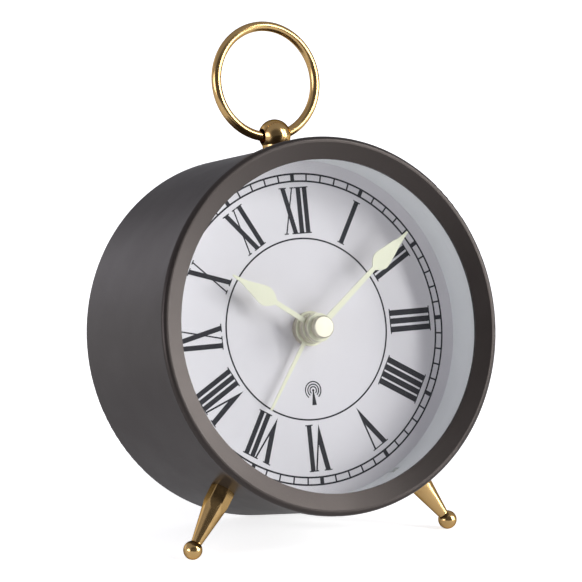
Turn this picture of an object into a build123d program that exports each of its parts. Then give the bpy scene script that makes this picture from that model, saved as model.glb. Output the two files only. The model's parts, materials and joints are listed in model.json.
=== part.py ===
"""Retro drum alarm clock: a radio-controlled quartz clock with a ring handle and two legs.

Row frame: X to the clock's right as the viewer sees it, -Y towards the viewer, +Z up, millimetres.
The origin is the centre of the bounding box's base, on the table.
Most sizes are stated in dial coordinates: x to the right, v up along the dial, and w out of the
dial towards the viewer, all measured from the centre of the dial's printed face.
"""

import os
from math import asin, atan2, cos, degrees, hypot, radians, sin, sqrt

from build123d import *

os.makedirs("parts", exist_ok=True)

# ---------------------------------------------------------------- driving dimensions
# Case
CASE_R = 46.9
CASE_WALL = 0.8
CASE_FRONT = 11.8
CASE_REAR = -33.4
CASE_EDGE = 1.2
CASE_LIP_R = 44.4
BEZEL_R = 48.0
BEZEL_OPENING_R = 42.3
BEZEL_FACE = 14.3
BEZEL_CREST = 0.4
BEZEL_OPENING_FACE = 13.1
BEZEL_SEAT = 12.3
BEZEL_EDGE = 1.1
SPIGOT_R = 46.0
SPIGOT_WALL = 1.0
SPIGOT_END = 7.5
GLASS_R = 44.9
GLASS_T = 1.5

# Dial, its white surround and the carrier plate behind it
SURROUND_R = 43.2
SURROUND_WALL = 1.7
FLANGE_R = 46.0
FLANGE_T = 1.5
DIAL_R = 43.6
DIAL_T = 0.6
CARRIER_T = 1.4
POST_R = 3.0
POST_CIRCLE = 39.5
POST_ANGLES = (30, 150, 270)
LIGHT_ANGLE = -62

# Legs, drawn along the leg from the drum's surface
LEG_ANGLE = 35.3
LEG_W = -2.7
LEG_HEX_FLATS = 5.7
LEG_HEX_R = 3.2
LEG_HEX_END = 4.2
LEG_NECK = 15.4
LEG_NECK_R = 1.4
LEG_BALL = 17.55
LEG_BALL_R = 2.43
LEG_SCREW_R = 1.25
LEG_SCREW_L = 4.5

# Ring handle and the drilled ball that carries it
BALL_V = 50.5
BALL_W = -7.1
BALL_R = 4.15
BALL_NECK_R = 3.4
BALL_HOLE_R = 1.6
BALL_MOUTH_R = 2.05
BALL_SCREW_R = 1.5
RING_R = 14.3
RING_WIRE_R = 1.25
RING_SAG = 0.26
RING_LEAN = 4.0

# Hands, as clock angles clockwise from twelve
MINUTE_ANGLE = 51.6
HOUR_ANGLE = 304.3
ALARM_ANGLE = 215.0
MINUTE_LENGTH = 36.2
HOUR_LENGTH = 26.8
ALARM_LENGTH = 24.0
MINUTE_SHOULDERS = ((0.14, 0.93), (0.36, 0.70), (0.64, 0.39))
HOUR_SHOULDERS = ((0.14, 0.92), (0.36, 0.64), (0.64, 0.31))
HAND_T = 0.3
ALARM_HAND_W = 2.1
HOUR_HAND_W = 4.6
MINUTE_HAND_W = 6.6
CAP_TOP = 9.2
CAP_R = 2.9

# Movement shell and the layers of its wheels, front to rear
SHELL_X = 25.0
SHELL_BOTTOM = -14.0
SHELL_TOP = 28.0
SHELL_FRONT = -2.0
SHELL_SPLIT = -14.6
SHELL_REAR = -16.0
SHELL_WALL = 1.2
ALARM_LAYER = -3.9
HOUR_LAYER = -5.4
MOTION_LAYER = -6.9
CENTRE_LAYER = -8.4
THIRD_LAYER = -9.9
WHEEL_T = 1.0
THIRD_T = 0.8
ARBOR_R = 0.5
RUNNING = 0.05

# Coaxial centre: bush, alarm pipe, hour pipe and minute arbor
BUSH_R = 4.0
BUSH_TOP = 1.4
ALARM_PIPE_R = 2.3
HOUR_PIPE_R = 1.6
MINUTE_ARBOR_R = 1.0
DIAL_NUT_R = 4.3
DIAL_NUT_T = 1.3

# Gear trains: teeth and modules
CANNON_TEETH, MOTION_TEETH, MOTION_MODULE = 12, 36, 0.5
MOTION_PINION_TEETH, HOUR_TEETH, HOUR_MODULE = 10, 40, 0.48
ALARM_PINION_TEETH, ALARM_TEETH, ALARM_MODULE = 12, 36, 0.55
CENTRE_TEETH, THIRD_PINION_TEETH, CENTRE_MODULE = 50, 10, 0.4
THIRD_TEETH, ROTOR_TEETH, THIRD_MODULE = 60, 10, 0.25
MOTION_DIRECTION = 185.0
ALARM_DIRECTION = 50.0
THIRD_DIRECTION = 110.0
ROTOR_DIRECTION = 150.0

# Stepper motor
STATOR_W = -11.2
STATOR_T = 1.0
ROTOR_MAGNET_R = 2.4
STATOR_GAP = 0.35
YOKE_V = 22.5
YOKE_LEFT = -13.4
YOKE_RIGHT = 17.5
COIL_X = (0.5, 13.5)

# Rear cover and battery bay
COVER_FACE = -30.8
COVER_T = 1.8
COVER_R = 46.0
COVER_RIM_END = -27.0
COVER_RIM_WALL = 1.6
COVER_RIM_RELIEF = 0.5
BAY_V = -24.0
BAY_LENGTH = 56.5
BAY_HEIGHT = 15.4
BAY_WALL = 1.2
BAY_FLOOR = -14.8
DOOR_LENGTH = 58.4
DOOR_HEIGHT = 18.0
DOOR_T = 1.2
DOOR_GAP = 0.3
BATTERY_R = 7.1
BATTERY_LENGTH = 49.2
NUB_R = 2.75
NUB_LENGTH = 1.3

# Circuit board, antenna and sounder
BOARD_FRONT = -19.3
BOARD_T = 1.2
BOARD_X = 27.0
BOARD_BOTTOM = -13.0
BOARD_TOP = 32.5
ROD_R = 4.0
ROD_LENGTH = 44.0
ROD_V = 33.5
ROD_W = -13.0
SOUNDER_AT = (-20.0, 10.0)
SOUNDER_R = 8.5

# Controls on the rear
SNOOZE_AT = (0.0, 29.0)
SNOOZE_LENGTH = 21.6
SNOOZE_HEIGHT = 7.6
SET_AT = (-20.0, 27.0)
WAVE_AT = (20.0, 27.0)
BUTTON_R = 2.4
BUTTON_GAP = 0.3
BUTTON_TOP = -32.2
BUTTON_TRAVEL = 1.0
SWITCH_AT = (23.0, 4.0)
SWITCH_TRAVEL = 5.0
KNOB_R = 7.0
KNOB_FRONT = -31.3
KNOB_REAR = -35.3
KNOB_FLUTES = 24
ALARM_ARBOR_R = 1.75
COVER_SCREW_R = 0.95

# ---------------------------------------------------------------- the clock's lean
# Both ball feet and the drum's rear bottom edge rest on the table, so the drum leans back by the
# angle whose common tangent touches the ball's circle and the rear edge's rounding.
FOOT_RADIUS = CASE_R + LEG_BALL
FOOT_X = FOOT_RADIUS * sin(radians(LEG_ANGLE))
FOOT_V = -FOOT_RADIUS * cos(radians(LEG_ANGLE))
REAR_V = -(CASE_R - CASE_EDGE)
REAR_W = CASE_REAR + CASE_EDGE
RISE = REAR_V - FOOT_V
RUN = LEG_W - REAR_W
LEAN = atan2(RISE, RUN) + asin((LEG_BALL_R - CASE_EDGE) / hypot(RISE, RUN))

DIAL_Z = LEG_BALL_R - FOOT_V * cos(LEAN) - LEG_W * sin(LEAN)
FRONT_Y = -(BEZEL_R - BEZEL_EDGE) * sin(LEAN) - (BEZEL_FACE - BEZEL_EDGE) * cos(LEAN) - BEZEL_EDGE
REAR_Y = -REAR_V * sin(LEAN) - REAR_W * cos(LEAN) + CASE_EDGE
DIAL_Y = -(FRONT_Y + REAR_Y) / 2

dial = Plane(origin=(0, DIAL_Y, DIAL_Z), x_dir=(1, 0, 0), z_dir=(0, -cos(LEAN), sin(LEAN)))


def face(w, x=0.0, v=0.0):
    """The plane parallel to the dial at height w, with its origin at (x, v)."""
    return Plane(dial.from_local_coords((x, v, w)), x_dir=dial.x_dir, z_dir=dial.z_dir)


def turned(x=0.0, v=0.0):
    """The plane for a turned profile about the dial's normal at (x, v): radius, then w."""
    origin = dial.from_local_coords((x, v, 0))
    return Plane(origin, x_dir=dial.x_dir, z_dir=dial.x_dir.cross(dial.z_dir))


def spindle(x=0.0, v=0.0):
    """The axis along the dial's normal at (x, v)."""
    return Axis(dial.from_local_coords((x, v, 0)), dial.z_dir)


def ring_shape(outer, inner):
    """Add a flat ring to the open sketch."""
    Circle(outer)
    Circle(inner, mode=Mode.SUBTRACT)


def polar(distance, angle):
    """The dial point at a distance from the centre, by its angle from +x."""
    return (distance * cos(radians(angle)), distance * sin(radians(angle)))


# ---------------------------------------------------------------- gears
def gear_outline(teeth, module, phase, centre=(0.0, 0.0)):
    """Add a spur gear to the open sketch, with one tooth centred on the phase angle."""
    root = module * (teeth / 2 - 1.25)
    tip = module * (teeth / 2 + 0.9)
    outline = []
    for tooth in range(teeth):
        for radius, turn in ((root, -0.30), (tip, -0.10), (tip, 0.10), (root, 0.30)):
            x, v = polar(radius, phase + (tooth + turn) * 360 / teeth)
            outline.append((centre[0] + x, centre[1] + v))
    Polygon(*outline, align=None)


def mesh_phase(driver_teeth, driver_phase, direction, teeth):
    """The phase that puts a gear's gap on its driver's tooth, along the line of centres."""
    return direction + 180 - 180 / teeth + (direction - driver_phase) * driver_teeth / teeth


def centre_distance(teeth_a, teeth_b, module):
    """The distance between two meshed gears' axes."""
    return module * (teeth_a + teeth_b) / 2


def beyond(start, distance, direction):
    """The dial point at a distance and direction from another point."""
    x, v = polar(distance, direction)
    return (start[0] + x, start[1] + v)


CENTRE = (0.0, 0.0)
MOTION_AT = beyond(CENTRE, centre_distance(CANNON_TEETH, MOTION_TEETH, MOTION_MODULE), MOTION_DIRECTION)
ALARM_AT = beyond(CENTRE, centre_distance(ALARM_PINION_TEETH, ALARM_TEETH, ALARM_MODULE), ALARM_DIRECTION)
THIRD_AT = beyond(CENTRE, centre_distance(CENTRE_TEETH, THIRD_PINION_TEETH, CENTRE_MODULE), THIRD_DIRECTION)
ROTOR_AT = beyond(THIRD_AT, centre_distance(THIRD_TEETH, ROTOR_TEETH, THIRD_MODULE), ROTOR_DIRECTION)

# ---------------------------------------------------------------- case
with BuildPart() as case_drum:
    with BuildSketch(turned()):
        with BuildLine():
            inner_r = CASE_R - CASE_WALL
            inner_edge = CASE_EDGE - CASE_WALL
            Line((inner_r, CASE_FRONT), (CASE_R, CASE_FRONT))
            Line((CASE_R, CASE_FRONT), (CASE_R, REAR_W))
            TangentArc((CASE_R, REAR_W), (CASE_R - CASE_EDGE, CASE_REAR), tangent=(0, -1))
            Line((CASE_R - CASE_EDGE, CASE_REAR), (CASE_LIP_R, CASE_REAR))
            Line((CASE_LIP_R, CASE_REAR), (CASE_LIP_R, CASE_REAR + CASE_WALL))
            Line((CASE_LIP_R, CASE_REAR + CASE_WALL), (inner_r - inner_edge, CASE_REAR + CASE_WALL))
            TangentArc((inner_r - inner_edge, CASE_REAR + CASE_WALL), (inner_r, REAR_W), tangent=(1, 0))
            Line((inner_r, REAR_W), (inner_r, CASE_FRONT))
        make_face()
    revolve(axis=spindle())


def leg_plane(side):
    """The plane across a leg where it meets the drum, with its normal along the leg."""
    outward = dial.x_dir * (side * sin(radians(LEG_ANGLE))) - dial.y_dir * cos(radians(LEG_ANGLE))
    root = dial.from_local_coords((0, 0, LEG_W)) + outward * CASE_R
    return Plane(root, x_dir=dial.z_dir, z_dir=outward)


def stud_plane(v):
    """The plane across the handle's stud at height v, with its normal up the dial."""
    return Plane(dial.from_local_coords((0, v, BALL_W)), x_dir=dial.x_dir, z_dir=dial.y_dir)


SCREW_CLEARANCE = 0.1
HOLE_DEPTH = 3.0

with case_drum:
    for side in (-1, 1):
        with BuildSketch(leg_plane(side)):
            Circle(LEG_SCREW_R + SCREW_CLEARANCE)
        extrude(amount=-HOLE_DEPTH, mode=Mode.SUBTRACT)
    with BuildSketch(stud_plane(CASE_R)):
        Circle(BALL_SCREW_R + SCREW_CLEARANCE)
    extrude(amount=-HOLE_DEPTH, mode=Mode.SUBTRACT)

with BuildPart() as bezel_ring:
    with BuildSketch(turned()):
        with BuildLine():
            Polyline(
                (BEZEL_OPENING_R, BEZEL_OPENING_FACE),
                (BEZEL_R - BEZEL_EDGE - BEZEL_CREST, BEZEL_FACE),
                (BEZEL_R, BEZEL_FACE),
                (BEZEL_R, CASE_FRONT),
                (SPIGOT_R, CASE_FRONT),
                (SPIGOT_R, SPIGOT_END),
                (SPIGOT_R - SPIGOT_WALL, SPIGOT_END),
                (SPIGOT_R - SPIGOT_WALL, BEZEL_SEAT),
                (BEZEL_OPENING_R, BEZEL_SEAT),
                close=True,
            )
        make_face()
    revolve(axis=spindle())
    front_edges = bezel_ring.edges().filter_by(GeomType.CIRCLE).group_by(Axis(dial.origin, dial.z_dir))[-1]
    fillet(front_edges.sort_by(SortBy.RADIUS)[-1], BEZEL_EDGE)

with BuildPart() as front_glass:
    with BuildSketch(face(BEZEL_SEAT)):
        Circle(GLASS_R)
    extrude(amount=-GLASS_T)

GLASS_REAR = BEZEL_SEAT - GLASS_T

# ---------------------------------------------------------------- dial, surround and carrier
LIGHT_WINDOW = (2.4, 2.6)
LIGHT_BASE_W = 0.6

with BuildPart() as dial_surround:
    with BuildSketch(face(0)):
        ring_shape(SURROUND_R + SURROUND_WALL, SURROUND_R)
    extrude(amount=GLASS_REAR)
    with BuildSketch(face(0)):
        ring_shape(FLANGE_R, SURROUND_R)
    extrude(amount=FLANGE_T)
    with BuildSketch(face(LIGHT_BASE_W)):
        with PolarLocations(SURROUND_R + SURROUND_WALL, 1, start_angle=LIGHT_ANGLE):
            Rectangle(4 * SURROUND_WALL, LIGHT_WINDOW[0])
    extrude(amount=LIGHT_WINDOW[1], mode=Mode.SUBTRACT)

with BuildPart() as dial_light:
    with BuildSketch(face(LIGHT_BASE_W + 0.1)):
        with PolarLocations(SURROUND_R + 1.2, 1, start_angle=LIGHT_ANGLE):
            Rectangle(1.6, LIGHT_WINDOW[0] - 0.2)
    extrude(amount=LIGHT_WINDOW[1] - 0.2)

with BuildPart() as dial_plate:
    with BuildSketch(face(0)):
        ring_shape(DIAL_R, BUSH_R + 0.1)
    extrude(amount=-DIAL_T)

NOTCH_WIDTH = 7.0
NOTCH_R = 42.0
SADDLE_X = 16.0
SADDLE_T = 3.0

with BuildPart() as dial_carrier:
    with BuildSketch(face(-DIAL_T)):
        ring_shape(FLANGE_R - 0.1, BUSH_R + 0.1)
        for side in (-1, 1):
            with PolarLocations(NOTCH_R + NOTCH_WIDTH / 2, 1, start_angle=-90 + side * LEG_ANGLE):
                Rectangle(NOTCH_WIDTH, NOTCH_WIDTH, mode=Mode.SUBTRACT)
    extrude(amount=-CARRIER_T)
    with BuildSketch(face(-DIAL_T - CARRIER_T)):
        for angle in POST_ANGLES:
            with Locations(polar(POST_CIRCLE, angle)):
                Circle(POST_R)
    extrude(amount=COVER_FACE + COVER_T + DIAL_T + CARRIER_T)
    with BuildSketch(face(-DIAL_T - CARRIER_T)):
        for side in (-1, 1):
            with Locations((side * SADDLE_X, ROD_V)):
                Rectangle(SADDLE_T, 2 * ROD_R + 2.0)
    extrude(amount=ROD_W + DIAL_T + CARRIER_T)
    with BuildSketch(Plane(dial.from_local_coords((0, ROD_V, ROD_W)), x_dir=dial.y_dir, z_dir=dial.x_dir)):
        Circle(ROD_R + RUNNING)
    extrude(amount=ROD_LENGTH / 2, both=True, mode=Mode.SUBTRACT)
    with BuildSketch(face(COVER_FACE + COVER_T)):
        for angle in POST_ANGLES:
            with Locations(polar(POST_CIRCLE, angle)):
                Circle(COVER_SCREW_R)
    extrude(amount=12.0, mode=Mode.SUBTRACT)

with BuildPart() as dial_nut:
    with BuildSketch(face(0)):
        ring_shape(DIAL_NUT_R, BUSH_R)
    extrude(amount=DIAL_NUT_T)

# ---------------------------------------------------------------- legs and handle
with BuildPart() as leg_blank:
    with BuildSketch(Plane.XZ):
        with BuildLine():
            ball_base = LEG_BALL - sqrt(LEG_BALL_R**2 - LEG_NECK_R**2)
            Line((0, 0), (LEG_HEX_R, 0))
            Line((LEG_HEX_R, 0), (LEG_HEX_R, LEG_HEX_END))
            Line((LEG_HEX_R, LEG_HEX_END), (LEG_NECK_R, LEG_NECK))
            Line((LEG_NECK_R, LEG_NECK), (LEG_NECK_R, ball_base))
            ThreePointArc((LEG_NECK_R, ball_base), (LEG_BALL_R, LEG_BALL), (0, LEG_BALL + LEG_BALL_R))
            Line((0, LEG_BALL + LEG_BALL_R), (0, 0))
        make_face()
    revolve(axis=Axis.Z)
    with BuildSketch(Plane.XY):
        RegularPolygon(LEG_HEX_FLATS / 2, 6, major_radius=False)
    extrude(amount=LEG_BALL + LEG_BALL_R, mode=Mode.INTERSECT)
    with BuildSketch(Plane.XY):
        Circle(LEG_SCREW_R)
    extrude(amount=-LEG_SCREW_L)


def placed(blank, plane):
    """A copy of a part made about the origin, moved to a plane."""
    return plane.location * blank


left_leg = placed(leg_blank.part, leg_plane(-1))
right_leg = placed(leg_blank.part, leg_plane(1))

LEG_NUT_FLATS = 5.0
LEG_NUT_T = 2.0
NUT_GAP = 0.15

with BuildPart() as leg_nuts:
    for side in (-1, 1):
        with BuildSketch(leg_plane(side).offset(-CASE_WALL - NUT_GAP)):
            RegularPolygon(LEG_NUT_FLATS / 2, 6, major_radius=False, rotation=30)
            Circle(LEG_SCREW_R, mode=Mode.SUBTRACT)
        extrude(amount=-LEG_NUT_T)

stud_profile = Plane(dial.from_local_coords((0, 0, BALL_W)), x_dir=dial.x_dir, z_dir=dial.x_dir.cross(dial.y_dir))
stud_axis = Axis(dial.from_local_coords((0, 0, BALL_W)), dial.y_dir)
ball_centre = dial.from_local_coords((0, BALL_V, BALL_W))
swing_axis = Axis(ball_centre, dial.x_dir)
STUD_SCREW_L = 5.4

with BuildPart() as handle_stud:
    with BuildSketch(stud_profile):
        with BuildLine():
            neck_top = BALL_V - sqrt(BALL_R**2 - BALL_NECK_R**2)
            Line((0, CASE_R), (BALL_NECK_R, CASE_R))
            Line((BALL_NECK_R, CASE_R), (BALL_NECK_R, neck_top))
            ThreePointArc((BALL_NECK_R, neck_top), (BALL_R, BALL_V), (0, BALL_V + BALL_R))
            Line((0, BALL_V + BALL_R), (0, CASE_R))
        make_face()
    revolve(axis=stud_axis)
    with BuildSketch(stud_plane(CASE_R)):
        Circle(BALL_SCREW_R)
    extrude(amount=-STUD_SCREW_L)
    with BuildSketch(Plane(ball_centre, x_dir=dial.x_dir, z_dir=dial.z_dir)):
        with BuildLine():
            Polyline(
                (-BALL_R - 1, 0),
                (-BALL_R - 1, BALL_MOUTH_R + 0.2),
                (-BALL_HOLE_R, BALL_HOLE_R),
                (BALL_HOLE_R, BALL_HOLE_R),
                (BALL_R + 1, BALL_MOUTH_R + 0.2),
                (BALL_R + 1, 0),
                close=True,
            )
        make_face()
    revolve(axis=swing_axis, mode=Mode.SUBTRACT)

HANDLE_NUT_FLATS = 5.5
HANDLE_NUT_T = 2.4

with BuildPart() as handle_nut:
    with BuildSketch(stud_plane(CASE_R - CASE_WALL - NUT_GAP)):
        RegularPolygon(HANDLE_NUT_FLATS / 2, 6, major_radius=False)
        Circle(BALL_SCREW_R, mode=Mode.SUBTRACT)
    extrude(amount=-HANDLE_NUT_T)

ring_up = dial.y_dir * cos(radians(RING_LEAN)) - dial.x_dir * sin(radians(RING_LEAN))
ring_centre = ball_centre + ring_up * (RING_R - RING_SAG)

with BuildPart() as handle_ring:
    with BuildSketch(Plane(ring_centre + ring_up * RING_R, x_dir=ring_up, z_dir=ring_up.cross(dial.z_dir))):
        Circle(RING_WIRE_R)
    revolve(axis=Axis(ring_centre, dial.z_dir))


# ---------------------------------------------------------------- hands
def hand_plane(clock_angle, w):
    """The plane of a hand's underside, with its x axis along the hand."""
    angle = radians(90 - clock_angle)
    along = dial.x_dir * cos(angle) + dial.y_dir * sin(angle)
    return Plane(dial.from_local_coords((0, 0, w)), x_dir=along, z_dir=dial.z_dir)


def blade_outline(root, neck, widest, length, root_half, neck_half, widest_half, shoulders):
    """Add a leaf-shaped hand to the open sketch: a slim stem, a round belly and a long point.

    The shoulders give the point's half-width along it, both as shares from the belly to the tip.
    """
    tip_half = 0.2
    tip_slope = 0.13
    taper = length - widest
    with BuildLine() as outline:
        Line((root, -root_half), (root, root_half))
        Line((root, root_half), (neck, neck_half))
        belly = (
            (neck, neck_half),
            (widest, widest_half),
            *((widest + along * taper, share * widest_half) for along, share in shoulders),
            (length, tip_half),
        )
        Spline(*belly, tangents=((1, 1.1), (1, -tip_slope)))
        Line((length, tip_half), (length, -tip_half))
        lower = [(x, -half) for x, half in reversed(belly)]
        Spline(*lower, tangents=((-1, -tip_slope), (-1, 1.1)))
        Line((neck, -neck_half), (root, -root_half))
    make_face(outline.edges())


def bush(base_w, base_r, base_top, collar_r, collar_top, bore_r):
    """Add a hand's stepped bush: a wide base below the blade and a collar through it."""
    with BuildSketch(face(base_w)) as base:
        ring_shape(base_r, bore_r)
    extrude(base.sketch, amount=base_top - base_w)
    with BuildSketch(face(base_top)) as collar:
        ring_shape(collar_r, bore_r)
    extrude(collar.sketch, amount=collar_top - base_top)


ALARM_BUSH = dict(base_w=1.5, base_r=4.5, base_top=ALARM_HAND_W, collar_r=3.3, collar_top=2.8)
HOUR_BUSH = dict(base_w=2.95, base_r=3.9, base_top=HOUR_HAND_W, collar_r=2.9, collar_top=5.25)
MINUTE_BUSH = dict(base_w=5.4, base_r=3.7, base_top=MINUTE_HAND_W, collar_r=2.4, collar_top=7.2)

with BuildPart() as alarm_hand:
    with BuildSketch(hand_plane(ALARM_ANGLE, ALARM_HAND_W)):
        Circle(ALARM_BUSH["base_r"] - 0.1)
        with BuildLine():
            Polyline((3.6, -0.55), (3.6, 0.55), (ALARM_LENGTH, 0.3), (ALARM_LENGTH, -0.3), close=True)
        make_face()
        Circle(ALARM_BUSH["collar_r"], mode=Mode.SUBTRACT)
    extrude(amount=HAND_T)

with BuildPart() as hour_hand:
    with BuildSketch(hand_plane(HOUR_ANGLE, HOUR_HAND_W)):
        Circle(HOUR_BUSH["base_r"] - 0.1)
        blade_outline(3.2, 13.0, 16.2, HOUR_LENGTH, 0.65, 0.6, 2.5, HOUR_SHOULDERS)
        Circle(HOUR_BUSH["collar_r"], mode=Mode.SUBTRACT)
    extrude(amount=HAND_T)

with BuildPart() as minute_hand:
    with BuildSketch(hand_plane(MINUTE_ANGLE, MINUTE_HAND_W)):
        Circle(MINUTE_BUSH["base_r"] - 0.1)
        blade_outline(3.0, 22.3, 25.1, MINUTE_LENGTH, 0.8, 0.6, 2.45, MINUTE_SHOULDERS)
        Circle(MINUTE_BUSH["collar_r"], mode=Mode.SUBTRACT)
    extrude(amount=HAND_T)

with BuildPart() as alarm_hand_bush:
    bush(bore_r=ALARM_PIPE_R, **ALARM_BUSH)

with BuildPart() as hour_hand_bush:
    bush(bore_r=HOUR_PIPE_R, **HOUR_BUSH)

with BuildPart() as minute_hand_bush:
    bush(bore_r=MINUTE_ARBOR_R, **MINUTE_BUSH)

CAP_BASE = 7.5
ARBOR_TOP = 8.0

with BuildPart() as hand_cap:
    with BuildSketch(face(CAP_BASE)):
        Circle(CAP_R)
    extrude(amount=CAP_TOP - CAP_BASE)
    chamfer(hand_cap.edges().group_by(Axis(dial.origin, dial.z_dir))[-1], 0.3)
    with BuildSketch(face(MINUTE_BUSH["collar_top"])):
        Circle(CAP_R - 0.8)
    extrude(amount=CAP_BASE - MINUTE_BUSH["collar_top"])
    with BuildSketch(face(MINUTE_BUSH["collar_top"])):
        Circle(MINUTE_ARBOR_R)
    extrude(amount=ARBOR_TOP - MINUTE_BUSH["collar_top"], mode=Mode.SUBTRACT)

# ---------------------------------------------------------------- movement wheels
PIVOT_R = 0.4
FRONT_PIVOT = SHELL_FRONT - 0.4
REAR_PIVOT = SHELL_REAR + 0.4


def disc(radius, front, rear, at=CENTRE):
    """Add a plain cylinder along the dial's normal between two heights."""
    with BuildSketch(face(front, *at)) as section:
        Circle(radius)
    extrude(section.sketch, amount=rear - front)


def tube(radius, bore, front, rear):
    """Add a tube about the dial's centre between two heights."""
    with BuildSketch(face(front)) as section:
        ring_shape(radius, bore)
    extrude(section.sketch, amount=rear - front)


def toothed(layer, thickness, teeth, module, phase, at=CENTRE, bore=0.0):
    """Add a toothed wheel whose front face lies at the layer's height."""
    with BuildSketch(face(layer)) as section:
        gear_outline(teeth, module, phase, at)
        if bore:
            Circle(bore, mode=Mode.SUBTRACT)
    extrude(section.sketch, amount=-thickness)


motion_phase = mesh_phase(CANNON_TEETH, 0, MOTION_DIRECTION, MOTION_TEETH)
hour_phase = mesh_phase(MOTION_PINION_TEETH, 0, MOTION_DIRECTION + 180, HOUR_TEETH)
alarm_pinion_phase = mesh_phase(ALARM_TEETH, 0, ALARM_DIRECTION, ALARM_PINION_TEETH)
third_pinion_phase = mesh_phase(CENTRE_TEETH, 0, THIRD_DIRECTION, THIRD_PINION_TEETH)
rotor_phase = mesh_phase(THIRD_TEETH, 0, ROTOR_DIRECTION, ROTOR_TEETH)

with BuildPart() as alarm_wheel:
    toothed(ALARM_LAYER, WHEEL_T, ALARM_TEETH, ALARM_MODULE, 0, bore=HOUR_PIPE_R + RUNNING)
    tube(ALARM_PIPE_R, HOUR_PIPE_R + RUNNING, ALARM_BUSH["collar_top"], ALARM_LAYER)

with BuildPart() as hour_wheel:
    toothed(HOUR_LAYER, WHEEL_T, HOUR_TEETH, HOUR_MODULE, hour_phase, bore=MINUTE_ARBOR_R + RUNNING)
    tube(HOUR_PIPE_R, MINUTE_ARBOR_R + RUNNING, HOUR_BUSH["collar_top"], HOUR_LAYER)

with BuildPart() as centre_wheel:
    toothed(CENTRE_LAYER, WHEEL_T, CENTRE_TEETH, CENTRE_MODULE, 0)
    toothed(MOTION_LAYER, WHEEL_T, CANNON_TEETH, MOTION_MODULE, 0)
    disc(MINUTE_ARBOR_R, ARBOR_TOP, CENTRE_LAYER - WHEEL_T)
    disc(1.6, MOTION_LAYER - WHEEL_T, CENTRE_LAYER)
    disc(PIVOT_R, CENTRE_LAYER, REAR_PIVOT)

with BuildPart() as intermediate_wheel:
    toothed(MOTION_LAYER, WHEEL_T, MOTION_TEETH, MOTION_MODULE, motion_phase, MOTION_AT)
    toothed(HOUR_LAYER, WHEEL_T, MOTION_PINION_TEETH, HOUR_MODULE, 0, MOTION_AT)
    disc(ARBOR_R + 0.6, HOUR_LAYER - WHEEL_T, MOTION_LAYER, MOTION_AT)
    disc(PIVOT_R, FRONT_PIVOT, REAR_PIVOT, MOTION_AT)

with BuildPart() as third_wheel:
    toothed(THIRD_LAYER, THIRD_T, THIRD_TEETH, THIRD_MODULE, 0, THIRD_AT)
    toothed(CENTRE_LAYER, WHEEL_T, THIRD_PINION_TEETH, CENTRE_MODULE, third_pinion_phase, THIRD_AT)
    disc(ARBOR_R + 0.6, CENTRE_LAYER - WHEEL_T, THIRD_LAYER, THIRD_AT)
    disc(PIVOT_R, FRONT_PIVOT, REAR_PIVOT, THIRD_AT)

with BuildPart() as stepper_rotor:
    toothed(THIRD_LAYER + 0.1, WHEEL_T, ROTOR_TEETH, THIRD_MODULE, rotor_phase, ROTOR_AT)
    disc(ROTOR_MAGNET_R, STATOR_W + 0.1, STATOR_W - STATOR_T - 0.4, ROTOR_AT)
    disc(0.8, THIRD_LAYER - WHEEL_T, STATOR_W, ROTOR_AT)
    disc(PIVOT_R, FRONT_PIVOT, REAR_PIVOT, ROTOR_AT)

with BuildPart() as alarm_arbor:
    toothed(ALARM_LAYER, WHEEL_T, ALARM_PINION_TEETH, ALARM_MODULE, alarm_pinion_phase, ALARM_AT)
    disc(ALARM_ARBOR_R, ALARM_LAYER, KNOB_REAR + 1.2, ALARM_AT)
    disc(PIVOT_R, FRONT_PIVOT, ALARM_LAYER, ALARM_AT)

with BuildPart() as alarm_knob:
    with BuildSketch(face(KNOB_FRONT, *ALARM_AT)):
        Circle(KNOB_R)
        with PolarLocations(KNOB_R, KNOB_FLUTES):
            Circle(0.45, mode=Mode.SUBTRACT)
    extrude(amount=KNOB_REAR - KNOB_FRONT)
    chamfer(alarm_knob.edges().group_by(Axis(dial.origin, dial.z_dir))[0], 0.35)
    with BuildSketch(face(KNOB_FRONT, *ALARM_AT)):
        Circle(ALARM_ARBOR_R)
    extrude(amount=KNOB_REAR + 1.2 - KNOB_FRONT, mode=Mode.SUBTRACT)

# ---------------------------------------------------------------- movement shell and motor
SHELL_HEIGHT = SHELL_TOP - SHELL_BOTTOM
SHELL_V = (SHELL_TOP + SHELL_BOTTOM) / 2
SHELL_CORNER = 3.0
FLOOR_T = 1.4
PIVOTS = (MOTION_AT, THIRD_AT, ROTOR_AT)
STANDOFFS = ((-22.0, -10.5), (22.0, -10.5), (-22.5, 16.5), (22.5, 16.5))

with BuildPart() as movement_shell:
    with BuildSketch(face(SHELL_FRONT, 0, SHELL_V)):
        RectangleRounded(2 * SHELL_X, SHELL_HEIGHT, SHELL_CORNER)
    extrude(amount=SHELL_SPLIT - SHELL_FRONT)
    with BuildSketch(face(SHELL_FRONT - FLOOR_T, 0, SHELL_V)):
        RectangleRounded(2 * (SHELL_X - SHELL_WALL), SHELL_HEIGHT - 2 * SHELL_WALL, SHELL_CORNER - SHELL_WALL)
    extrude(amount=SHELL_SPLIT - SHELL_FRONT + FLOOR_T, mode=Mode.SUBTRACT)
    disc(BUSH_R, BUSH_TOP, SHELL_FRONT)
    with BuildSketch(face(BUSH_TOP)):
        Circle(ALARM_PIPE_R + RUNNING)
        for x, v in PIVOTS + (ALARM_AT,):
            with Locations((x, v)):
                Circle(PIVOT_R + RUNNING)
    extrude(amount=SHELL_FRONT - FLOOR_T - BUSH_TOP, mode=Mode.SUBTRACT)

STANDOFF_R = 2.0
BOARD_SCREW_R = 0.7

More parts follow.
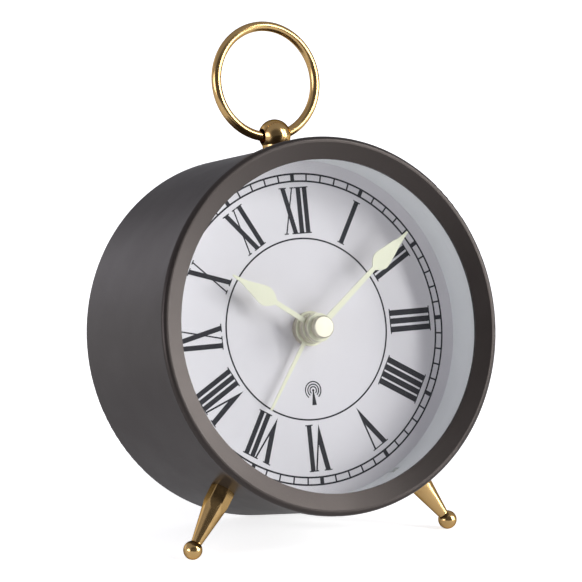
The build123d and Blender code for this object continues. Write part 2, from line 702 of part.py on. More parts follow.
with BuildPart() as movement_back:
    with BuildSketch(face(SHELL_SPLIT, 0, SHELL_V)):
        RectangleRounded(2 * SHELL_X, SHELL_HEIGHT, SHELL_CORNER)
    extrude(amount=SHELL_REAR - SHELL_SPLIT)
    with BuildSketch(face(SHELL_REAR)):
        for x, v in STANDOFFS:
            with Locations((x, v)):
                Circle(STANDOFF_R)
    extrude(amount=BOARD_FRONT - SHELL_REAR)
    with BuildSketch(face(SHELL_SPLIT)):
        for x, v in PIVOTS + (CENTRE,):
            with Locations((x, v)):
                Circle(PIVOT_R + RUNNING)
        with Locations(ALARM_AT):
            Circle(ALARM_ARBOR_R + RUNNING)
    extrude(amount=SHELL_REAR - SHELL_SPLIT, mode=Mode.SUBTRACT)
    with BuildSketch(face(BOARD_FRONT)):
        for x, v in STANDOFFS:
            with Locations((x, v)):
                Circle(BOARD_SCREW_R)
    extrude(amount=3.0, mode=Mode.SUBTRACT)

YOKE_HEIGHT = 3.4
POLE_R = 4.6

with BuildPart() as stepper_stator:
    with BuildSketch(face(STATOR_W)):
        with Locations(ROTOR_AT):
            Circle(POLE_R)
        with Locations(((YOKE_LEFT + YOKE_RIGHT) / 2, YOKE_V)):
            Rectangle(YOKE_RIGHT - YOKE_LEFT, YOKE_HEIGHT)
        with Locations(((YOKE_RIGHT + ROTOR_AT[0]) / 2, ROTOR_AT[1])):
            Rectangle(YOKE_RIGHT - ROTOR_AT[0], YOKE_HEIGHT)
        with Locations((YOKE_RIGHT - YOKE_HEIGHT / 2, (YOKE_V + ROTOR_AT[1]) / 2)):
            Rectangle(YOKE_HEIGHT, YOKE_V - ROTOR_AT[1] + YOKE_HEIGHT)
        with Locations((ROTOR_AT[0], (YOKE_V + ROTOR_AT[1]) / 2)):
            Rectangle(YOKE_HEIGHT, YOKE_V - ROTOR_AT[1])
        with Locations(ROTOR_AT):
            Circle(ROTOR_MAGNET_R + STATOR_GAP, mode=Mode.SUBTRACT)
    extrude(amount=-STATOR_T)

COIL_HEIGHT = 7.4
COIL_DEPTH = 4.8
COIL_W = STATOR_W - STATOR_T / 2

with BuildPart() as stepper_coil:
    with BuildSketch(Plane(dial.from_local_coords((COIL_X[0], YOKE_V, COIL_W)), x_dir=dial.y_dir, z_dir=dial.x_dir)):
        RectangleRounded(COIL_HEIGHT, COIL_DEPTH, 1.6)
        Rectangle(YOKE_HEIGHT + 0.2, STATOR_T + 0.2, mode=Mode.SUBTRACT)
    extrude(amount=COIL_X[1] - COIL_X[0])

# ---------------------------------------------------------------- circuit board and its parts
BOARD_REAR = BOARD_FRONT - BOARD_T
BOARD_HEIGHT = BOARD_TOP - BOARD_BOTTOM
BOARD_V = (BOARD_TOP + BOARD_BOTTOM) / 2
KEYS = (SNOOZE_AT, SET_AT, WAVE_AT)
KEY_SIZE = 6.0
KEY_T = 2.5
KEY_PLUNGER_T = 1.0

with BuildPart() as circuit_board:
    with BuildSketch(face(BOARD_FRONT, 0, BOARD_V)):
        RectangleRounded(2 * BOARD_X, BOARD_HEIGHT, 2.0)
    extrude(amount=-BOARD_T)
    with BuildSketch(face(BOARD_FRONT)):
        with Locations(ALARM_AT):
            Circle(ALARM_ARBOR_R + 0.8)
        for x, v in STANDOFFS:
            with Locations((x, v)):
                Circle(1.1)
    extrude(amount=-BOARD_T, mode=Mode.SUBTRACT)

with BuildPart() as board_screws:
    for x, v in STANDOFFS:
        disc(1.8, BOARD_REAR, BOARD_REAR - 1.2, (x, v))
        disc(BOARD_SCREW_R, BOARD_REAR, BOARD_FRONT + 2.8, (x, v))

with BuildPart() as key_switches:
    for x, v in KEYS:
        with BuildSketch(face(BOARD_REAR, x, v)):
            Rectangle(KEY_SIZE, KEY_SIZE)
        extrude(amount=-KEY_T)
        disc(1.6, BOARD_REAR - KEY_T, BOARD_REAR - KEY_T - KEY_PLUNGER_T, (x, v))

with BuildPart() as slide_switch:
    with BuildSketch(face(BOARD_REAR, *SWITCH_AT)):
        Rectangle(5.0, 12.0)
    extrude(amount=-4.0)

with BuildPart() as control_chip:
    with BuildSketch(face(BOARD_REAR, -4.0, -4.0)):
        RectangleRounded(12.0, 9.0, 0.4)
    extrude(amount=-1.4)

with BuildPart() as quartz_crystal:
    with BuildSketch(face(BOARD_REAR, -16.0, -6.0)):
        RectangleRounded(2.6, 8.0, 1.2)
    extrude(amount=-2.0)

rod_plane = Plane(dial.from_local_coords((0, ROD_V, ROD_W)), x_dir=dial.y_dir, z_dir=dial.x_dir)
ANTENNA_COIL_R = 5.2
ANTENNA_COIL_LENGTH = 16.0

with BuildPart() as ferrite_rod:
    with BuildSketch(rod_plane):
        Circle(ROD_R)
    extrude(amount=ROD_LENGTH / 2, both=True)

with BuildPart() as antenna_coil:
    with BuildSketch(rod_plane):
        ring_shape(ANTENNA_COIL_R, ROD_R)
    extrude(amount=ANTENNA_COIL_LENGTH / 2, both=True)

# ---------------------------------------------------------------- rear cover, battery and door
COVER_INNER = COVER_FACE + COVER_T
BAY_BOTTOM = BAY_V - BAY_HEIGHT / 2
DOOR_OUTER = COVER_FACE
DOOR_PIN_R = 0.4
DOOR_PIN_L = 0.9
HINGE_V = BAY_V - DOOR_HEIGHT / 2 + DOOR_T / 2
HINGE_W = COVER_FACE + DOOR_T / 2
SOUND_HOLES = 7
hinge_plane = Plane(dial.from_local_coords((0, HINGE_V, HINGE_W)), x_dir=dial.y_dir, z_dir=dial.x_dir)

with BuildPart() as rear_cover:
    with BuildSketch(face(COVER_FACE)):
        Circle(COVER_R)
    extrude(amount=COVER_T)
    with BuildSketch(face(CASE_REAR + CASE_WALL)):
        ring_shape(COVER_R, COVER_R - COVER_RIM_WALL)
    extrude(amount=COVER_RIM_END - CASE_REAR - CASE_WALL)
    rim_edges = rear_cover.edges().filter_by(GeomType.CIRCLE).group_by(Axis(dial.origin, dial.z_dir))[0]
    chamfer(rim_edges.sort_by(SortBy.RADIUS)[-1], COVER_RIM_RELIEF)
    with BuildSketch(face(COVER_INNER, 0, BAY_V)):
        RectangleRounded(BAY_LENGTH + 2 * BAY_WALL, BAY_HEIGHT + 2 * BAY_WALL, 1.5)
    extrude(amount=BAY_FLOOR + BAY_WALL - COVER_INNER)
    with BuildSketch(face(COVER_FACE, 0, BAY_V)):
        Rectangle(BAY_LENGTH, BAY_HEIGHT)
    extrude(amount=BAY_FLOOR - COVER_FACE, mode=Mode.SUBTRACT)
    with BuildSketch(face(COVER_FACE, 0, BAY_V)):
        Rectangle(DOOR_LENGTH + 2 * DOOR_GAP, DOOR_HEIGHT + 2 * DOOR_GAP)
    extrude(amount=DOOR_T + 0.1, mode=Mode.SUBTRACT)
    with BuildSketch(face(COVER_FACE)):
        with Locations(SNOOZE_AT):
            SlotOverall(SNOOZE_LENGTH + 2 * BUTTON_GAP, SNOOZE_HEIGHT + 2 * BUTTON_GAP)
        with Locations(SET_AT, WAVE_AT):
            Circle(BUTTON_R + BUTTON_GAP)
        with Locations(ALARM_AT):
            Circle(ALARM_ARBOR_R + 0.5)
        with Locations((SWITCH_AT[0], SWITCH_AT[1] + SWITCH_TRAVEL / 2)):
            SlotOverall(SWITCH_TRAVEL + 5.6, 3.4, rotation=90)
        with Locations(SOUNDER_AT):
            Circle(0.8)
            with PolarLocations(4.0, SOUND_HOLES - 1):
                Circle(0.8)
        for angle in POST_ANGLES:
            with Locations(polar(POST_CIRCLE, angle)):
                Circle(COVER_SCREW_R + 0.3)
    extrude(amount=COVER_T, mode=Mode.SUBTRACT)
    with BuildSketch(hinge_plane):
        Circle(DOOR_PIN_R + RUNNING)
    extrude(amount=DOOR_LENGTH / 2 + DOOR_PIN_L + 0.2, both=True, mode=Mode.SUBTRACT)

with BuildPart() as cover_screws:
    for angle in POST_ANGLES:
        disc(2.4, COVER_FACE - 1.5, COVER_FACE, polar(POST_CIRCLE, angle))
        disc(COVER_SCREW_R, COVER_FACE, COVER_INNER + 10.0, polar(POST_CIRCLE, angle))
    for angle in POST_ANGLES:
        with BuildSketch(face(COVER_FACE - 1.5, *polar(POST_CIRCLE, angle))):
            Rectangle(2.6, 0.6)
            Rectangle(0.6, 2.6)
        extrude(amount=0.8, mode=Mode.SUBTRACT)

with BuildPart() as battery_door:
    with BuildSketch(face(DOOR_OUTER, 0, BAY_V)):
        Rectangle(DOOR_LENGTH, DOOR_HEIGHT)
    extrude(amount=DOOR_T)
    fillet(battery_door.edges().group_by(Axis(dial.origin, dial.y_dir))[0].filter_by(Axis.X), DOOR_T / 2 - 0.02)
    with BuildSketch(hinge_plane):
        Circle(DOOR_PIN_R)
    extrude(amount=DOOR_LENGTH / 2 + DOOR_PIN_L, both=True)
    with BuildSketch(face(DOOR_OUTER)):
        for groove in range(5):
            with Locations((0, BAY_V + 2.0 + 1.2 * groove)):
                SlotOverall(14.0 - 2.4 * groove, 0.6)
    extrude(amount=0.4, mode=Mode.SUBTRACT)

with BuildPart() as sounder:
    disc(SOUNDER_R, COVER_INNER, COVER_INNER + 4.5, SOUNDER_AT)
    disc(2.0, COVER_INNER, COVER_INNER + 1.5, SOUNDER_AT)

BATTERY_LEFT = -22.8
BATTERY_W = DOOR_OUTER + DOOR_T + 0.5 + BATTERY_R
battery_plane = Plane(dial.from_local_coords((BATTERY_LEFT, BAY_V, BATTERY_W)), x_dir=dial.y_dir, z_dir=dial.x_dir)

with BuildPart() as aa_battery:
    with BuildSketch(battery_plane):
        Circle(BATTERY_R)
    extrude(amount=BATTERY_LENGTH)
    fillet(aa_battery.edges(), 0.5)
    with BuildSketch(battery_plane.offset(BATTERY_LENGTH)):
        Circle(NUB_R)
    extrude(amount=NUB_LENGTH)

CONTACT_T = 0.4
CONTACT_SIZE = 9.0
SPRING_TURNS = 4
SPRING_WIRE_R = 0.35
SPRING_R = 3.4

with BuildPart() as battery_contact:
    with BuildSketch(battery_plane.offset(BAY_LENGTH / 2 - BATTERY_LEFT - CONTACT_T)):
        RectangleRounded(CONTACT_SIZE, CONTACT_SIZE, 1.0)
    extrude(amount=CONTACT_T)

spring_length = BAY_LENGTH / 2 + BATTERY_LEFT - CONTACT_T - 2 * SPRING_WIRE_R
spring_plane = battery_plane.offset(-BAY_LENGTH / 2 - BATTERY_LEFT + CONTACT_T + SPRING_WIRE_R)

with BuildPart() as battery_spring:
    with BuildLine(spring_plane) as coil_line:
        Helix(spring_length / SPRING_TURNS, spring_length, SPRING_R, direction=dial.x_dir)
    with BuildSketch(Plane(coil_line.line @ 0, z_dir=coil_line.line % 0)):
        Circle(SPRING_WIRE_R)
    sweep()
    with BuildSketch(battery_plane.offset(-BAY_LENGTH / 2 - BATTERY_LEFT)):
        RectangleRounded(CONTACT_SIZE, CONTACT_SIZE, 1.0)
    extrude(amount=CONTACT_T + SPRING_WIRE_R / 2)

# ---------------------------------------------------------------- buttons and switch
BUTTON_FLANGE = 1.2
FLANGE_FRONT = COVER_INNER + 1.1
STEM_END = BOARD_REAR - KEY_T - KEY_PLUNGER_T - BUTTON_TRAVEL - 0.15
STEM_R = 1.5


def button_inside(at):
    """Add the stem that reaches the key switch behind a button."""
    disc(STEM_R, FLANGE_FRONT, STEM_END, at)


with BuildPart() as snooze_button:
    with BuildSketch(face(BUTTON_TOP, *SNOOZE_AT)):
        SlotOverall(SNOOZE_LENGTH, SNOOZE_HEIGHT)
    extrude(amount=FLANGE_FRONT - BUTTON_TOP)
    fillet(snooze_button.edges().group_by(Axis(dial.origin, dial.z_dir))[0], 0.6)
    with BuildSketch(face(COVER_INNER + 0.15, *SNOOZE_AT)):
        SlotOverall(SNOOZE_LENGTH + 2 * BUTTON_FLANGE, SNOOZE_HEIGHT + 2 * BUTTON_FLANGE)
    extrude(amount=FLANGE_FRONT - COVER_INNER - 0.15)
    button_inside(SNOOZE_AT)


def round_button(at):
    """Add a small round button with its retaining flange and stem."""
    disc(BUTTON_R, BUTTON_TOP, FLANGE_FRONT, at)
    disc(BUTTON_R + BUTTON_FLANGE, COVER_INNER + 0.15, FLANGE_FRONT, at)
    button_inside(at)


with BuildPart() as set_button:
    round_button(SET_AT)

with BuildPart() as wave_button:
    round_button(WAVE_AT)

SLIDER_SIZE = (5.0, 4.0)

with BuildPart() as alarm_switch:
    with BuildSketch(face(BUTTON_TOP + 0.2, *SWITCH_AT)):
        RectangleRounded(*SLIDER_SIZE, 0.6)
    extrude(amount=COVER_FACE - 0.15 - BUTTON_TOP - 0.2)
    with BuildSketch(face(COVER_FACE - 0.15, *SWITCH_AT)):
        Rectangle(2.8, 3.4)
    extrude(amount=COVER_INNER + 0.15 - COVER_FACE + 0.15)
    with BuildSketch(face(COVER_INNER + 0.15, *SWITCH_AT)):
        Rectangle(5.6, 4.4)
    extrude(amount=0.9)
    disc(1.0, COVER_INNER + 0.15, BOARD_REAR - 4.3, SWITCH_AT)

# ---------------------------------------------------------------- export
pieces = {
    "case_drum": case_drum.part,
    "bezel_ring": bezel_ring.part,
    "front_glass": front_glass.part,
    "dial_surround": dial_surround.part,
    "dial_light": dial_light.part,
    "dial_plate": dial_plate.part,
    "dial_carrier": dial_carrier.part,
    "dial_nut": dial_nut.part,
    "left_leg": left_leg,
    "right_leg": right_leg,
    "leg_nuts": leg_nuts.part,
    "handle_stud": handle_stud.part,
    "handle_nut": handle_nut.part,
    "handle_ring": handle_ring.part,
    "alarm_hand": alarm_hand.part,
    "hour_hand": hour_hand.part,
    "minute_hand": minute_hand.part,
    "alarm_hand_bush": alarm_hand_bush.part,
    "hour_hand_bush": hour_hand_bush.part,
    "minute_hand_bush": minute_hand_bush.part,
    "hand_cap": hand_cap.part,
    "alarm_wheel": alarm_wheel.part,
    "hour_wheel": hour_wheel.part,
    "centre_wheel": centre_wheel.part,
    "intermediate_wheel": intermediate_wheel.part,
    "third_wheel": third_wheel.part,
    "stepper_rotor": stepper_rotor.part,
    "stepper_stator": stepper_stator.part,
    "stepper_coil": stepper_coil.part,
    "alarm_arbor": alarm_arbor.part,
    "alarm_knob": alarm_knob.part,
    "movement_shell": movement_shell.part,
    "movement_back": movement_back.part,
    "circuit_board": circuit_board.part,
    "board_screws": board_screws.part,
    "key_switches": key_switches.part,
    "slide_switch": slide_switch.part,
    "control_chip": control_chip.part,
    "quartz_crystal": quartz_crystal.part,
    "ferrite_rod": ferrite_rod.part,
    "antenna_coil": antenna_coil.part,
    "sounder": sounder.part,
    "rear_cover": rear_cover.part,
    "cover_screws": cover_screws.part,
    "battery_door": battery_door.part,
    "aa_battery": aa_battery.part,
    "battery_contact": battery_contact.part,
    "battery_spring": battery_spring.part,
    "snooze_button": snooze_button.part,
    "set_button": set_button.part,
    "wave_button": wave_button.part,
    "alarm_switch": alarm_switch.part,
}

for name, piece in pieces.items():
    piece.label = name
    export_step(piece, f"parts/{name}.step")

print(f"lean {degrees(LEAN):.3f} degrees, dial centre y {DIAL_Y:.3f}, z {DIAL_Z:.3f}, {len(pieces)} pieces")
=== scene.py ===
"""Visual model of a retro drum alarm clock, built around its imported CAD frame.

Sizes are in millimetres in dial coordinates: x to the right, v up the dial, and w out of the dial
towards the viewer, from the centre of the dial's printed face. dial() turns them into the frame.
"""

import json
import math

import bpy
from mathutils import Matrix, Vector
from mathutils.geometry import delaunay_2d_cdt


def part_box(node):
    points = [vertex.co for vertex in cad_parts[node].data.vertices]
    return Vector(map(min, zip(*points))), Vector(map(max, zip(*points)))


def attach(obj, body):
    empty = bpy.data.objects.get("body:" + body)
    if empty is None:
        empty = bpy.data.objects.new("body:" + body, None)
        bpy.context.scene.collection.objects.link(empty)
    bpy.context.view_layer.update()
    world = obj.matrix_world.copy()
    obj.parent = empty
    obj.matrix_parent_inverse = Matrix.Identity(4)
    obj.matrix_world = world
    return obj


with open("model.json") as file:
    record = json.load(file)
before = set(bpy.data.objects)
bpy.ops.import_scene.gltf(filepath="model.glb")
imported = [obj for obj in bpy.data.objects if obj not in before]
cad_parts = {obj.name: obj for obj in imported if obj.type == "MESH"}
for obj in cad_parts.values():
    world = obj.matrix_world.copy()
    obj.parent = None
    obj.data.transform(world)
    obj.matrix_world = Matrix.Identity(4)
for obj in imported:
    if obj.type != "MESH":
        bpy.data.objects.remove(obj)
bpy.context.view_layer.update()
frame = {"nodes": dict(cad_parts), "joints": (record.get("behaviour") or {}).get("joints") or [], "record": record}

MM = 0.001
turn = next(j for j in frame["joints"] if j["name"] == "minute_turn")
CENTRE = Vector(turn["pos_m"])
NORMAL = -Vector(turn["axis"]).normalized()
RIGHT = Vector((1.0, 0.0, 0.0))
UP = NORMAL.cross(RIGHT).normalized()


def heading(x, v, w):
    """A direction in dial coordinates, as a vector of the frame."""
    return RIGHT * x + UP * v + NORMAL * w


def dial(x, v, w):
    """A point in dial coordinates, in the frame's metres."""
    return CENTRE + heading(x, v, w) * MM


# ---------------------------------------------------------------- material tools
# Colours are linear RGB, noise scales are in cells per metre, and relief depths are in millimetres.
# Most of a noise texture's values lie in this range.
NOISE_RANGE = (0.3, 0.7)


class Finish:
    """A procedural material: a Principled shader and the nodes that vary it over the surface."""

    def __init__(self, name, color, roughness, metallic=0.0, **sockets):
        self.material = bpy.data.materials.new(name)
        self.material.use_nodes = True
        self.material.diffuse_color = (*color, 1.0)
        self.tree = self.material.node_tree
        self.shader = self.tree.nodes["Principled BSDF"]
        self.color = color
        self.shader.inputs["Base Color"].default_value = (*color, 1.0)
        self.shader.inputs["Roughness"].default_value = roughness
        self.shader.inputs["Metallic"].default_value = metallic
        for socket, value in sockets.items():
            self.shader.inputs[socket.replace("_", " ")].default_value = value
        self.place = self.node("ShaderNodeTexCoord").outputs["Object"]
        self.normal = None

    def node(self, kind, **settings):
        """A new node with its settings and unlinked inputs."""
        made = self.tree.nodes.new(kind)
        for key, value in settings.items():
            if hasattr(made, key):
                setattr(made, key, value)
            else:
                made.inputs[key.replace("_", " ")].default_value = value
        return made

    def link(self, output, socket):
        """Lead an output to a socket."""
        self.tree.links.new(output, socket)

    def stretched(self, scale):
        """Object coordinates scaled by a factor for each axis."""
        mapping = self.node("ShaderNodeMapping", Scale=scale)
        self.link(self.place, mapping.inputs["Vector"])
        return mapping.outputs["Vector"]

    def noise(self, scale, detail=2.0, stretch=(1.0, 1.0, 1.0)):
        """Noise, with its scale in cells per metre."""
        made = self.node("ShaderNodeTexNoise", Scale=scale, Detail=detail)
        self.link(self.stretched(stretch), made.inputs["Vector"])
        return made.outputs["Fac"]

    def cells(self, scale):
        """Voronoi cells, with their scale in cells per metre."""
        made = self.node("ShaderNodeTexVoronoi", Scale=scale)
        self.link(self.place, made.inputs["Vector"])
        return made.outputs["Distance"]

    def bands(self, scale):
        """Smooth bands across the x axis."""
        made = self.node("ShaderNodeTexWave", Scale=scale, wave_type="BANDS", bands_direction="X")
        self.link(self.place, made.inputs["Vector"])
        return made.outputs["Fac"]

    def span(self, value, low, high, out_low=0.0, out_high=1.0):
        """A value's range low to high taken to another range, with smooth ends."""
        made = self.node("ShaderNodeMapRange", interpolation_type="SMOOTHSTEP")
        self.link(value, made.inputs["Value"])
        made.inputs["From Min"].default_value = low
        made.inputs["From Max"].default_value = high
        made.inputs["To Min"].default_value = out_low
        made.inputs["To Max"].default_value = out_high
        return made.outputs["Result"]

    def axis_value(self, direction, offset):
        """Distance along a direction of the frame, less an offset, in metres."""
        dot = self.node("ShaderNodeVectorMath", operation="DOT_PRODUCT")
        self.link(self.place, dot.inputs[0])
        dot.inputs[1].default_value = direction
        less = self.node("ShaderNodeMath", operation="SUBTRACT")
        self.link(dot.outputs["Value"], less.inputs[0])
        less.inputs[1].default_value = offset
        return less.outputs[0]

    def tint(self, factor, color):
        """Blend the surface colour so far towards another by a factor."""
        mix = self.node("ShaderNodeMix", data_type="RGBA")
        self.link(factor, mix.inputs["Factor"])
        before = self.shader.inputs["Base Color"]
        if before.is_linked:
            self.link(before.links[0].from_socket, mix.inputs["A"])
        else:
            mix.inputs["A"].default_value = (*self.color, 1.0)
        mix.inputs["B"].default_value = (*color, 1.0)
        self.link(mix.outputs["Result"], before)

    def rough(self, factor, low, high):
        """Let a noise factor drive the roughness between two values."""
        self.link(self.span(factor, *NOISE_RANGE, low, high), self.shader.inputs["Roughness"])

    def relief(self, height, depth_mm, strength):
        """Add surface relief of a given depth, on top of any relief it already has."""
        bump = self.node("ShaderNodeBump", Strength=strength, Distance=depth_mm * MM)
        self.link(height, bump.inputs["Height"])
        if self.normal is not None:
            self.link(self.normal, bump.inputs["Normal"])
        self.normal = bump.outputs["Normal"]
        self.link(self.normal, self.shader.inputs["Normal"])


def scaled(color, factor):
    """A colour made lighter or darker by a factor."""
    return tuple(min(1.0, c * factor) for c in color)


# ---------------------------------------------------------------- materials
def graphite_metal():
    """Dark satin lacquer with a fine metal flake, on the drum and the bezel."""
    made = Finish("graphite_metal", (0.0185, 0.0155, 0.0146), 0.35, Specular_IOR_Level=0.46)
    made.shader.inputs["Specular Tint"].default_value = (1.0, 0.87, 0.81, 1.0)
    flake = made.noise(5200.0, 1.0)
    cloud = made.noise(34.0, 3.0)
    made.tint(made.span(flake, 0.55, 0.75), (0.029, 0.0243, 0.0228))
    made.tint(made.span(cloud, 0.35, 0.7, 0.0, 0.35), (0.0157, 0.0132, 0.0124))
    made.rough(made.noise(90.0, 4.0), 0.33, 0.38)
    made.relief(made.noise(900.0, 2.0), 0.012, 0.25)
    made.relief(flake, 0.004, 0.3)
    return made


def polished_brass():
    """Polished and lacquered brass with faint wiping marks."""
    made = Finish("polished_brass", (0.62, 0.41, 0.175), 0.2, 1.0)
    made.shader.inputs["Specular Tint"].default_value = (0.40, 0.29, 0.17, 1.0)
    made.tint(made.span(made.noise(160.0, 4.0), 0.4, 0.75, 0.0, 0.5), (0.50, 0.31, 0.12))
    made.rough(made.noise(420.0, 5.0), 0.16, 0.22)
    made.relief(made.noise(700.0, 3.0, (1.0, 1.0, 6.0)), 0.004, 0.2)
    made.relief(made.noise(260.0, 2.0), 0.006, 0.25)
    return made


def champagne_metal():
    """Pale gold turned metal of the hub."""
    made = Finish("champagne_metal", (0.62, 0.58, 0.48), 0.36, 0.75)
    made.tint(made.span(made.noise(300.0, 3.0), 0.4, 0.7, 0.0, 0.5), (0.52, 0.48, 0.39))
    made.rough(made.noise(900.0, 4.0), 0.33, 0.40)
    made.relief(made.noise(2200.0, 2.0), 0.001, 0.3)
    return made


# The share of light that each face of the glass reflects head-on, and how it rises towards grazing.
GLASS_HEAD_ON = 0.04
GLASS_FALLOFF = 5.0


def front_glass():
    """Clear glass: what is behind it shows, and both faces reflect more towards grazing angles."""
    made = Finish("front_glass", (0.97, 0.99, 0.985), 0.02)
    made.tree.nodes.remove(made.shader)
    clear = made.node("ShaderNodeBsdfTransparent", Color=(0.985, 0.993, 0.99, 1.0))
    gloss = made.node("ShaderNodeBsdfGlossy", Color=(1.0, 1.0, 1.0, 1.0))
    smear = made.span(made.noise(55.0, 6.0, (1.0, 1.0, 2.5)), 0.45, 0.8, 0.005, 0.05)
    made.link(smear, gloss.inputs["Roughness"])
    ripple = made.node("ShaderNodeBump", Strength=0.05, Distance=0.02 * MM)
    made.link(made.noise(30.0, 1.0), ripple.inputs["Height"])
    made.link(ripple.outputs["Normal"], gloss.inputs["Normal"])
    facing = made.node("ShaderNodeLayerWeight", Blend=0.5).outputs["Facing"]
    grazing = made.node("ShaderNodeMath", operation="POWER")
    made.link(facing, grazing.inputs[0])
    grazing.inputs[1].default_value = GLASS_FALLOFF
    share = made.node("ShaderNodeMath", operation="MULTIPLY_ADD")
    made.link(grazing.outputs[0], share.inputs[0])
    share.inputs[1].default_value = 1.0 - GLASS_HEAD_ON
    share.inputs[2].default_value = GLASS_HEAD_ON
    mix = made.node("ShaderNodeMixShader")
    made.link(share.outputs[0], mix.inputs["Fac"])
    made.link(clear.outputs["BSDF"], mix.inputs[1])
    made.link(gloss.outputs["BSDF"], mix.inputs[2])
    made.link(mix.outputs["Shader"], made.tree.nodes["Material Output"].inputs["Surface"])
    return made


def white_plastic():
    """Matt white moulding that lines the dial's opening."""
    made = Finish("white_plastic", (0.86, 0.875, 0.88), 0.4, Specular_IOR_Level=0.5)
    made.shader.inputs["Subsurface Weight"].default_value = 0.08
    made.shader.inputs["Subsurface Radius"].default_value = (0.002, 0.002, 0.002)
    made.tint(made.span(made.noise(45.0, 3.0), 0.4, 0.7, 0.0, 0.5), (0.84, 0.855, 0.865))
    made.rough(made.noise(300.0, 3.0), 0.36, 0.46)
    made.relief(made.noise(2600.0, 2.0), 0.006, 0.35)
    return made


def dial_card():
    """Matt cool-white card with a fine fibre."""
    made = Finish("dial_card", (0.80, 0.765, 0.80), 0.62, Specular_IOR_Level=0.3)
    fibre = made.noise(2400.0, 4.0, (1.0, 1.0, 3.0))
    made.tint(made.span(fibre, 0.4, 0.75, 0.0, 0.4), (0.74, 0.74, 0.775))
    made.rough(made.noise(120.0, 3.0), 0.56, 0.68)
    made.relief(made.noise(3200.0, 4.0, (1.0, 1.0, 2.0)), 0.006, 0.4)
    return made


def dial_ink():
    """Dark grey printing ink."""
    made = Finish("dial_ink", (0.022, 0.021, 0.027), 0.6, Specular_IOR_Level=0.15)
    made.tint(made.span(made.noise(1500.0, 4.0), 0.5, 0.8, 0.0, 0.5), (0.036, 0.035, 0.043))
    made.rough(made.noise(500.0, 3.0), 0.54, 0.66)
    made.relief(made.noise(3600.0, 3.0), 0.004, 0.4)
    return made


def light_lens():
    """Milky clear lens of the dial light."""
    made = Finish("light_lens", (0.88, 0.88, 0.84), 0.25, Transmission_Weight=0.35)
    made.tint(made.span(made.noise(700.0, 3.0), 0.4, 0.7, 0.0, 0.5), (0.80, 0.80, 0.74))
    made.rough(made.noise(1200.0, 2.0), 0.2, 0.32)
    made.relief(made.cells(1800.0), 0.01, 0.3)
    return made


def hand_paint():
    """Thick luminous paint, cream with a green cast and a fine grain."""
    made = Finish("hand_paint", (0.87, 0.86, 0.68), 0.48, Specular_IOR_Level=0.35)
    made.tint(made.span(made.noise(2200.0, 3.0), 0.45, 0.75, 0.0, 0.6), (0.78, 0.80, 0.57))
    made.rough(made.noise(700.0, 3.0), 0.42, 0.56)
    made.relief(made.noise(3000.0, 3.0), 0.008, 0.4)
    return made


def moulded(name, color, roughness, grain, depth):
    """A spark-textured moulding: fine pits, faint clouding and uneven sheen."""
    made = Finish(name, color, roughness)
    made.tint(made.span(made.noise(70.0, 3.0), 0.4, 0.75, 0.0, 0.5), scaled(color, 0.85))
    made.tint(made.span(made.noise(grain, 2.0), 0.55, 0.75, 0.0, 0.5), scaled(color, 1.25))
    made.rough(made.noise(240.0, 4.0), roughness - 0.06, roughness + 0.08)
    made.relief(made.noise(grain, 3.0), depth, 0.6)
    return made


def zinc_steel():
    """Zinc-plated steel with a mottled passivation."""
    made = Finish("zinc_steel", (0.62, 0.63, 0.64), 0.32, 1.0)
    made.tint(made.span(made.cells(900.0), 0.2, 0.7, 0.0, 0.5), (0.54, 0.55, 0.57))
    made.tint(made.span(made.noise(140.0, 4.0), 0.5, 0.8, 0.0, 0.35), (0.66, 0.62, 0.52))
    made.rough(made.noise(600.0, 4.0), 0.26, 0.42)
    made.relief(made.noise(1400.0, 3.0), 0.006, 0.4)
    return made


def copper_wire():
    """Enamelled copper wire, wound turn beside turn across x, with painted shade in the grooves between turns."""
    made = Finish("copper_wire", (0.72, 0.30, 0.12), 0.28, 1.0)
    turns = made.bands(1150.0)
    # Painted shade: the grooves between turns are tinted dark copper, as if shaded, not a colour of the wire.
    made.tint(made.span(turns, 0.0, 0.45, 1.0, 0.0), (0.22, 0.07, 0.025))
    made.rough(made.noise(800.0, 3.0), 0.22, 0.36)
    made.relief(turns, 0.09, 0.8)
    return made


def board_green():
    """Green solder mask over copper tracks."""
    made = Finish("board_green", (0.020, 0.115, 0.048), 0.34)
    tracks = made.noise(420.0, 1.0, (1.0, 0.2, 4.0))
    made.tint(made.span(tracks, 0.52, 0.56), (0.045, 0.20, 0.085))
    made.tint(made.span(made.cells(520.0), 0.10, 0.14, 1.0, 0.0), (0.55, 0.53, 0.46))
    made.rough(made.noise(500.0, 3.0), 0.28, 0.42)
    made.relief(tracks, 0.02, 0.4)
    return made


def ferrite():
    """Dark sintered ferrite."""
    made = Finish("ferrite", (0.045, 0.044, 0.046), 0.5, 0.25)
    made.tint(made.span(made.noise(1600.0, 4.0), 0.5, 0.75), (0.075, 0.073, 0.075))
    made.rough(made.noise(700.0, 3.0), 0.42, 0.6)
    made.relief(made.noise(2400.0, 4.0), 0.012, 0.6)
    return made


# The cell's copper band, its bare terminal and its bare rear edge, in millimetres from either end.
CELL_BAND = 14.6
CELL_TERMINAL = 1.9
CELL_REAR_EDGE = 0.5
CELL_COPPER = (0.66, 0.30, 0.12)
CELL_STEEL = (0.62, 0.62, 0.63)


